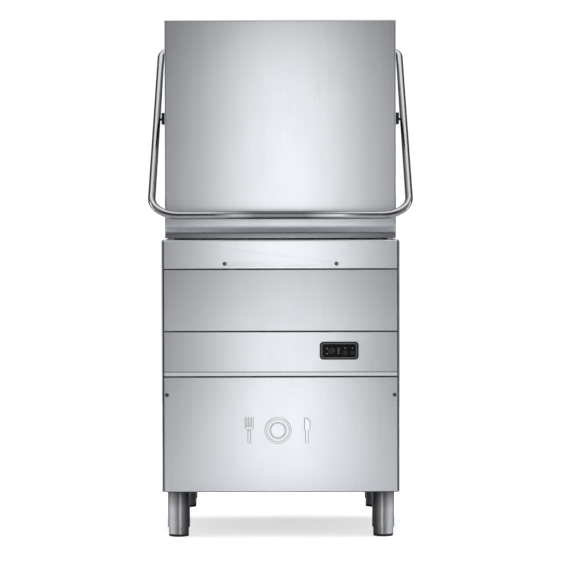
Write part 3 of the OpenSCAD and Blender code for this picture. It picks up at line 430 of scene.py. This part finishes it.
LOOKS = {
    "hood": "hood_shell",
    "fascia": "front_fascia",
    "mid": "mid_panel",
    "control": "control_panel",
    "lower": "lower_panel",
    "side": "left_side_panel right_side_panel",
    "rear": "rear_panel rear_cover rear_wall boiler",
    "deck": "top_deck",
    "inner": "wash_tank filter_trays rack_guide lower_wash_arm upper_wash_arm",
    "frame": "base_frame hood_carriage",
    "post": "corner_posts guide_columns",
    "foot": "foot_tubes foot_sleeve_fl foot_sleeve_fr foot_sleeve_rl foot_sleeve_rr",
    "turned": "balance_levers arm_spindles pump_rotor",
    "screw": "panel_screws lift_pins",
    "pipe": "wash_manifold lower_rinse_arm upper_rinse_arm sump_basket",
    "tube": "handle_tube",
    "spring": "balance_springs",
    "heater": "tank_heater",
    "motor": "pump_motor pivot_bearings",
    "brass": "inlet_valve",
    "pump": "pump_casing hood_guides",
    "grey": "control_box overflow_pipe suction_pipe drain_spigot",
    "glide": "hood_glides",
    "rubber": "hood_buffers foot_sole_fl foot_sole_fr foot_sole_rl foot_sole_rr",
    "bezel": "control_bezel",
    "film": "display_window",
    "key": "power_button cycle_button drain_button",
    "gland": "cable_gland",
    "lamp": "indicator_lights",
}

for look, names in LOOKS.items():
    for name in names.split():
        nodes[name].data.materials.clear()
        nodes[name].data.materials.append(M[look])

# ---------------------------------------------------------------- soft edges on the CAD parts


def soften(name, width, segments=2):
    """Rounds the sharp edges of a CAD part, so that they catch the light as folded or milled edges do."""
    part = nodes[name]
    weld = part.modifiers.new("weld", "WELD")
    weld.merge_threshold = 0.00001
    bevel = part.modifiers.new("soft_edges", "BEVEL")
    bevel.width = width
    bevel.segments = segments
    bevel.limit_method = "ANGLE"
    bevel.angle_limit = math.radians(35)
    bevel.harden_normals = True


SHEET_EDGE = 0.0005
EDGES = {
    SHEET_EDGE: "hood_shell front_fascia mid_panel control_panel lower_panel left_side_panel "
                "right_side_panel rear_cover top_deck rack_guide hood_guides hood_carriage",
    0.0008: "control_bezel pivot_bearings balance_levers",
    0.0003: "power_button cycle_button drain_button display_window",
}
for width, names in EDGES.items():
    for name in names.split():
        soften(name, width)

# ---------------------------------------------------------------- pieces made here


class Shell:
    """Collects closed loops of points, each joined to the next, into one mesh."""

    def __init__(self):
        self.points = []
        self.faces = []

    def loft(self, loops):
        """A closed solid through equal loops, capped at both ends."""
        first, count = len(self.points), len(loops[0])
        for loop in loops:
            self.points.extend(loop)
        for row in range(len(loops) - 1):
            a = first + row * count
            for i in range(count):
                j = (i + 1) % count
                self.faces.append((a + i, a + j, a + count + j, a + count + i))
        self.faces.append(tuple(first + i for i in reversed(range(count))))
        self.faces.append(tuple(len(self.points) - count + i for i in range(count)))

    def ring(self, loops):
        """The same, with the last loop joined to the first and no caps."""
        first, count, rows = len(self.points), len(loops[0]), len(loops)
        for loop in loops:
            self.points.extend(loop)
        for row in range(rows):
            a, b = first + row * count, first + (row + 1) % rows * count
            for i in range(count):
                j = (i + 1) % count
                self.faces.append((a + i, a + j, b + j, b + i))

    def piece(self, name, look, body, smooth=False, split=35):
        mesh = bpy.data.meshes.new(name)
        mesh.from_pydata([tuple(p) for p in self.points], [], self.faces)
        bm = bmesh.new()
        bm.from_mesh(mesh)
        bmesh.ops.recalc_face_normals(bm, faces=bm.faces)
        bm.to_mesh(mesh)
        bm.free()
        if smooth:
            mesh.shade_smooth()
            mesh.set_sharp_from_angle(angle=math.radians(split))
        mesh.materials.append(M[look])
        obj = bpy.data.objects.new(name, mesh)
        bpy.context.scene.collection.objects.link(obj)
        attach(obj, body)
        return obj


def circle(radius, count=24, centre=(0.0, 0.0)):
    angles = [2 * math.pi * i / count for i in range(count)]
    return [(centre[0] + radius * math.cos(a), centre[1] + radius * math.sin(a)) for a in angles]


def hexagon(radius, count=24):
    """Points on a hexagon's outline, as many as a circle has."""
    points = []
    for i in range(count):
        angle = 2 * math.pi * i / count
        turn = angle % (math.pi / 3) - math.pi / 6
        reach = radius * math.cos(math.pi / 6) / math.cos(turn)
        points.append((reach * math.cos(angle), reach * math.sin(angle)))
    return points


def arc(centre, radius, start, end, steps=8):
    """Points on an arc, with its angles in degrees."""
    angles = [math.radians(start + (end - start) * i / steps) for i in range(steps + 1)]
    return [(centre[0] + radius * math.cos(a), centre[1] + radius * math.sin(a)) for a in angles]


def placed(outline, origin, across, up, out, height):
    """An outline drawn in the plane of across and up, raised by height along out."""
    return [origin + across * a + up * b + out * height for a, b in outline]


X, Y, Z = Vector((1, 0, 0)), Vector((0, 1, 0)), Vector((0, 0, 1))
FRONT_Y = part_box("mid_panel")[0].y

# Emblem: raised shapes with sloped sides, drawn in millimetres about its middle
EMBLEM_AT = (-0.008, 0.300)
EMBLEM_LEVELS = ((1.0, -0.2), (0.9, 1.5), (-0.5, 2.5))
PLATE_RINGS = ((36.0, 31.5), (22.5, 20.0))
SETTING_X = 80.0


def fork_parts(g):
    """The fork's outlines, each grown outward by g."""
    handle = arc((0, -31), 3.5 + g, 180, 360) + [(3 + g, 3), (-3 - g, 3)]
    cup = arc((0, 11), 11 + g, 180, 360, 16) + [(11 + g, 11 + g), (-11 - g, 11 + g)]
    tines = [[(x - 2 - g, 10), (x + 2 + g, 10), (x + 2 + g, 35 + g), (x - 2 - g, 35 + g)]
             for x in (-9, 0, 9)]
    return [handle, cup, *tines]


def knife_part(g):
    handle = arc((0, -31), 3.5 + g, 180, 360)
    blade = arc((-6.5, 19), 15.5 + g, -10, 90)
    neck = [(3.5 + g, 0), (8 + g, 4)]
    back = [(-6.5 - g, 34.5 + g), (-6.5 - g, 4 - g), (-3.5 - g, -g)]
    return handle + neck + blade + back


def emblem():
    shell = Shell()
    middle = Vector((EMBLEM_AT[0], FRONT_Y, EMBLEM_AT[1]))

    def raised(outline, height, x=0.0):
        millimetres = [((a + x) / 1000, b / 1000) for a, b in outline]
        return placed(millimetres, middle, X, Z, -Y, height / 1000)

    for outer, inner in PLATE_RINGS:
        outside = [raised(circle(outer + g, 96), h) for g, h in EMBLEM_LEVELS]
        inside = [raised(circle(inner - g, 96), h) for g, h in reversed(EMBLEM_LEVELS)]
        shell.ring(outside + inside)
    for index in range(len(fork_parts(0))):
        shell.loft([raised(fork_parts(g)[index], h, -SETTING_X) for g, h in EMBLEM_LEVELS])
    shell.loft([raised(knife_part(g), h, SETTING_X) for g, h in EMBLEM_LEVELS])
    shell.piece("front_emblem", "emblem", "root")


# Screws: places of the heads' seats in metres, with the way that each head looks
SCREW_HEAD = ((5.6, 0.0), (5.6, 0.7), (5.2, 1.4), (4.3, 2.1), (3.3, 2.6))
SOCKET = ((2.4, 2.6), (2.2, 0.9))
SHANK = ((2.9, -11.0), (2.9, 0.0))
FASCIA_SCREW = (0.155, 0.763)
LOWER_SCREW = (0.3155, 0.399)
REAR_SCREW_X = 0.308
REAR_SCREW_ZS = (0.17, 0.46, 0.76)
COVER_SCREW_X = 0.2745
COVER_SCREW_YS = (0.286, 0.314)
COVER_FLANGE = 0.0015


def screws():
    shell = Shell()
    rear_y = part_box("rear_panel")[1].y
    flange_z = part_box("top_deck")[1].z + COVER_FLANGE
    seats = []
    for side in (-1, 1):
        for x, z in (FASCIA_SCREW, LOWER_SCREW):
            seats.append((Vector((side * x, FRONT_Y, z)), X, Z, -Y))
        for z in REAR_SCREW_ZS:
            seats.append((Vector((side * REAR_SCREW_X, rear_y, z)), -X, Z, Y))
        for y in COVER_SCREW_YS:
            seats.append((Vector((side * COVER_SCREW_X, y, flange_z)), X, Y, Z))
    for origin, across, up, out in seats:
        rings = [(circle(r / 1000), h / 1000) for r, h in SHANK + SCREW_HEAD]
        rings += [(hexagon(r / 1000), h / 1000) for r, h in SOCKET]
        shell.loft([placed(outline, origin, across, up, out, h) for outline, h in rings])
    obj = shell.piece("socket_screws", "screw", "root", smooth=True)
    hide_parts("panel_screws")


# Marks on the keys and the film: flat raised shapes, in millimetres about each key
MARK_H = 0.12
MARK_SINK = -0.05


def marks(name, body, centre, floor_y, rings=(), bars=()):
    """rings are pairs of radii; bars are centre and half size, each turned by an angle."""
    shell = Shell()
    base = Vector((centre[0], floor_y, centre[1]))

    def raised(outline, height):
        return placed([(a / 1000, b / 1000) for a, b in outline], base, X, Z, -Y, height / 1000)

    for outer, inner in rings:
        levels = [(outer, MARK_SINK), (outer, MARK_H), (inner, MARK_H), (inner, MARK_SINK)]
        shell.ring([raised(circle(radius, 40), h) for radius, h in levels])
    for x, z, half_w, half_h, angle in bars:
        c, s = math.cos(math.radians(angle)), math.sin(math.radians(angle))
        corners = [(-half_w, -half_h), (half_w, -half_h), (half_w, half_h), (-half_w, half_h)]
        outline = [(x + a * c - b * s, z + a * s + b * c) for a, b in corners]
        shell.loft([raised(outline, MARK_SINK), raised(outline, MARK_H)])
    shell.piece(name, "mark", body)


def key_centre(part):
    low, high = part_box(part)
    return (low.x + high.x) / 2, (low.z + high.z) / 2


def round_rect(half_w, half_h, radius):
    a, b = half_w - radius, half_h - radius
    return (arc((a, b), radius, 0, 90) + arc((-a, b), radius, 90, 180)
            + arc((-a, -b), radius, 180, 270) + arc((a, -b), radius, 270, 360))


# The light line on the bezel: its distances out from the window, and its height
TRIM_IN = 0.0012
TRIM_OUT = 0.0032
TRIM_H = 0.0002
TRIM_SINK = -0.0001
WINDOW_CORNER = 0.004
# How deep the floor of each key's dish lies behind the key's face
DISH_DEPTH = 0.0007


def control_marks():
    film_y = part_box("display_window")[0].y
    dish_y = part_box("power_button")[0].y + DISH_DEPTH
    marks("power_marks", "power_key", key_centre("power_button"), dish_y,
          rings=[(7.6, 6.9), (4.6, 4.0)], bars=[(0, 0, 2.0, 0.4, 0)])
    marks("cycle_marks", "cycle_key", key_centre("cycle_button"), dish_y, rings=[(5.4, 4.9)],
          bars=[(0.2, 1.0, 1.8, 0.35, -35), (0.2, -1.0, 1.8, 0.35, 35)])
    marks("drain_marks", "drain_key", key_centre("drain_button"), dish_y, rings=[(5.4, 4.9)],
          bars=[(-1.1, -0.8, 1.7, 0.35, -45), (1.1, -0.8, 1.7, 0.35, 45), (0, 1.0, 0.35, 2.2, 0)])
    low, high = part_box("control_bezel")
    middle = ((low.x + high.x) / 2, (low.z + high.z) / 2)
    levels = [(2.8, z, 1.7, 0.35, 0) for z in (6.4, 0.0, -6.7)]
    steam = [(-37.0, 6.4, 1.2, 0.3, 90), (-37.0, -7.8, 1.2, 0.3, 0)]
    heads = [(20.6, 7.2, 1.4, 0.3, 0), (32.6, 7.2, 1.4, 0.3, 0)]
    marks("film_marks", "root", middle, film_y, bars=levels + steam + heads)
    trim = Shell()
    window_low, window_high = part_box("display_window")
    half_w, half_h = (window_high.x - window_low.x) / 2, (window_high.z - window_low.z) / 2
    corner = Vector((middle[0], low.y, middle[1]))
    loops = [(TRIM_OUT, TRIM_SINK), (TRIM_OUT, TRIM_H), (TRIM_IN, TRIM_H), (TRIM_IN, TRIM_SINK)]
    trim.ring([placed(round_rect(half_w + grow, half_h + grow, WINDOW_CORNER + grow), corner, X, Z, -Y, h)
               for grow, h in loops])
    trim.piece("bezel_trim", "trim", "root")


# Balance springs: wire wound from the lower hook to the upper one
WIRE_R = 0.0016
COIL_R = 0.0102
COIL_Z = (0.902, 1.396)
# Straight wire between the coil's ends and the hooks
LOWER_LEAD = 0.004
UPPER_LEAD = 0.006
TURNS = 96
TURN_STEPS = 18
WIRE_SIDES = 8


def swept(shell, path, radius, sides):
    """A round wire along a path, with its rings carried from one point to the next without twist."""
    normal = None
    loops = []
    for i, point in enumerate(path):
        ahead = path[min(i + 1, len(path) - 1)] - path[max(i - 1, 0)]
        ahead.normalize()
        if normal is None:
            normal = ahead.orthogonal()
        normal = (normal - ahead * normal.dot(ahead)).normalized()
        across = ahead.cross(normal)
        loops.append([point + normal * a + across * b for a, b in circle(radius, sides)])
    shell.loft(loops)


def springs():
    shell = Shell()
    low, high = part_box("balance_springs")
    y = (low.y + high.y) / 2
    for side in (-1, 1):
        x = side * (high.x - COIL_R - WIRE_R)
        path = [Vector((x, y, low.z)), Vector((x, y, COIL_Z[0] - LOWER_LEAD))]
        steps = TURNS * TURN_STEPS
        for i in range(steps + 1):
            share = i / steps
            wind = min(1.0, share * TURNS, (1 - share) * TURNS) * COIL_R
            angle = 2 * math.pi * share * TURNS
            height = COIL_Z[0] + (COIL_Z[1] - COIL_Z[0]) * share
            path.append(Vector((x + wind * math.cos(angle), y + wind * math.sin(angle), height)))
        path.append(Vector((x, y, COIL_Z[1] + UPPER_LEAD)))
        path.append(Vector((x, y, high.z)))
        swept(shell, path, WIRE_R, WIRE_SIDES)
    obj = shell.piece("coil_springs", "spring", "root", smooth=True, split=80)
    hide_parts("balance_springs")
    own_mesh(obj)


# Nozzles: a raised ring round each jet of the wash arms, with places in metres from the arm's axis
NOZZLE = ((2.9, 0.0), (4.8, -0.3), (4.4, 1.6), (3.4, 2.0), (2.9, 1.2))
NOZZLE_FIRST = 0.065
NOZZLE_PITCH = 0.048
NOZZLE_SIDE = 0.006
NOZZLE_COUNT = 4


def nozzles(name, arm, body, way):
    shell = Shell()
    low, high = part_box(arm)
    face_z = high.z if way > 0 else low.z
    axis_y = (low.y + high.y) / 2
    for side in (-1, 1):
        for i in range(NOZZLE_COUNT):
            reach = side * (NOZZLE_FIRST + NOZZLE_PITCH * i)
            origin = Vector((reach, axis_y + side * NOZZLE_SIDE, face_z))
            shell.ring([placed(circle(r / 1000, 20), origin, X, Y, Z * way, h / 1000) for r, h in NOZZLE])
    shell.piece(name, "pump", body, smooth=True)


emblem()
screws()
control_marks()
springs()
nozzles("lower_nozzles", "lower_wash_arm", "lower_wash", 1)
nozzles("upper_nozzles", "upper_wash_arm", "upper_wash", -1)

# ---------------------------------------------------------------- stage, light and camera

# The camera looks down a little less than its height asks for, and its frame is shifted down for the rest
EYE = Vector((0.0, -6.805, 0.9835))
PITCH = math.radians(1.436)
LENS = 149.1
SHIFT_Y = -0.068
ROLL = math.radians(0.12)


# How bright the room is in each direction, from in front of the machine (-1) to behind it (1)
ROOM_LIGHT = ((-1.0, 0.10), (-0.7, 0.10), (-0.3, 0.34), (0.3, 0.34), (0.6, 0.08), (0.95, 0.08), (0.97, 1.0))


def studio_world():
    """A dim room with strips of light at the sides, and plain white for whatever looks past the machine."""
    world = bpy.data.worlds.new("studio")
    bpy.context.scene.world = world
    world.use_nodes = True
    tree = world.node_tree
    sky = tree.nodes["Background"]
    coords = tree.nodes.new("ShaderNodeTexCoord")
    split = tree.nodes.new("ShaderNodeSeparateXYZ")
    unit = tree.nodes.new("ShaderNodeMapRange")
    unit.inputs[1].default_value = -1.0
    ramp = tree.nodes.new("ShaderNodeValToRGB")
    stops = ramp.color_ramp.elements
    while len(stops) < len(ROOM_LIGHT):
        stops.new(0.5)
    for stop, (direction, level) in zip(stops, ROOM_LIGHT):
        stop.position = (direction + 1) / 2
        stop.color = (level, level, level, 1)
    tree.links.new(coords.outputs["Generated"], split.inputs[0])
    tree.links.new(split.outputs["Y"], unit.inputs[0])
    tree.links.new(unit.outputs[0], ramp.inputs[0])
    sky.inputs["Strength"].default_value = 1.0
    tree.links.new(ramp.outputs[0], sky.inputs["Color"])
    backdrop = tree.nodes.new("ShaderNodeBackground")
    backdrop.inputs["Strength"].default_value = 1.05
    backdrop.inputs["Color"].default_value = (1, 1, 1, 1)
    path = tree.nodes.new("ShaderNodeLightPath")
    switch = tree.nodes.new("ShaderNodeMixShader")
    tree.links.new(path.outputs["Is Camera Ray"], switch.inputs[0])
    tree.links.new(sky.outputs[0], switch.inputs[1])
    tree.links.new(backdrop.outputs[0], switch.inputs[2])
    tree.links.new(switch.outputs[0], tree.nodes["World Output"].inputs["Surface"])


FLOOR_RADIUS = 3.5
# How much the floor is lifted towards white in the picture, up to FLOOR_NEAR_Y. The lift grows to full
# at FLOOR_FAR_Y
FLOOR_GLOW = 0.60
FLOOR_NEAR_Y = 0.0
FLOOR_FAR_Y = 0.13


def floor():
    mesh = bpy.data.meshes.new("floor")
    bm = bmesh.new()
    bmesh.ops.create_circle(bm, cap_ends=True, radius=FLOOR_RADIUS, segments=96)
    bm.to_mesh(mesh)
    bm.free()
    obj = bpy.data.objects.new("floor", mesh)
    bpy.context.scene.collection.objects.link(obj)
    material = bpy.data.materials.new("pale_floor")
    material.use_nodes = True
    bsdf = material.node_tree.nodes["Principled BSDF"]
    bsdf.inputs["Base Color"].default_value = (0.86, 0.86, 0.87, 1)
    bsdf.inputs["Roughness"].default_value = 0.9
    bsdf.inputs["Specular IOR Level"].default_value = 0.1
    bsdf.inputs["Emission Color"].default_value = (1, 1, 1, 1)
    tree = material.node_tree
    path = tree.nodes.new("ShaderNodeLightPath")
    split = tree.nodes.new("ShaderNodeSeparateXYZ")
    tree.links.new(tree.nodes.new("ShaderNodeTexCoord").outputs["Object"], split.inputs[0])
    lift = tree.nodes.new("ShaderNodeMapRange")
    for index, value in enumerate((FLOOR_NEAR_Y, FLOOR_FAR_Y, FLOOR_GLOW, 1.0), start=1):
        lift.inputs[index].default_value = value
    tree.links.new(split.outputs["Y"], lift.inputs[0])
    glow = tree.nodes.new("ShaderNodeMath")
    glow.operation = "MULTIPLY"
    tree.links.new(path.outputs["Is Camera Ray"], glow.inputs[0])
    tree.links.new(lift.outputs[0], glow.inputs[1])
    tree.links.new(glow.outputs[0], bsdf.inputs["Emission Strength"])
    mesh.materials.append(material)


def area_light(name, place, aim, size, power):
    data = bpy.data.lights.new(name, "AREA")
    data.shape = "RECTANGLE"
    data.size, data.size_y = size
    data.energy = power
    obj = bpy.data.objects.new(name, data)
    bpy.context.scene.collection.objects.link(obj)
    obj.location = place
    obj.rotation_mode = "QUATERNION"
    obj.rotation_quaternion = (Vector(aim) - Vector(place)).to_track_quat("-Z", "Y")
    obj.visible_camera = False


def sky_light(spread, strength):
    """A soft light from above that is as bright far away as it is near the machine."""
    data = bpy.data.lights.new("sky_soft", "SUN")
    data.energy = strength
    data.angle = spread
    obj = bpy.data.objects.new("sky_soft", data)
    bpy.context.scene.collection.objects.link(obj)


def camera():
    data = bpy.data.cameras.new("camera")
    data.lens = LENS
    data.sensor_width = 36.0
    data.shift_y = SHIFT_Y
    obj = bpy.data.objects.new("camera", data)
    bpy.context.scene.collection.objects.link(obj)
    obj.location = EYE
    obj.rotation_mode = "QUATERNION"
    look = Vector((0.0, math.cos(PITCH), -math.sin(PITCH))).to_track_quat("-Z", "Y")
    obj.rotation_quaternion = look @ Matrix.Rotation(-ROLL, 3, "Z").to_quaternion()
    bpy.context.scene.camera = obj


# Each light's place, the point it looks at, its width and height, and its power in watts
studio_world()
floor()
area_light("front_strip", (0.02, -1.35, 0.80), (0.02, 0.0, 0.80), (0.38, 1.5), 4.4)
for side in (-1, 1):
    area_light(f"side_strip_{side + 1}", (side * 2.0, 0.25, 1.05), (0.0, 0.25, 1.05), (0.35, 1.3), 4.0)
area_light("rear_strip", (0.0, 2.3, 1.05), (0.0, 0.0, 1.05), (2.4, 1.3), 8.5)
sky_light(math.radians(70), 1.4)
camera()
bpy.context.scene.view_settings.view_transform = "Standard"
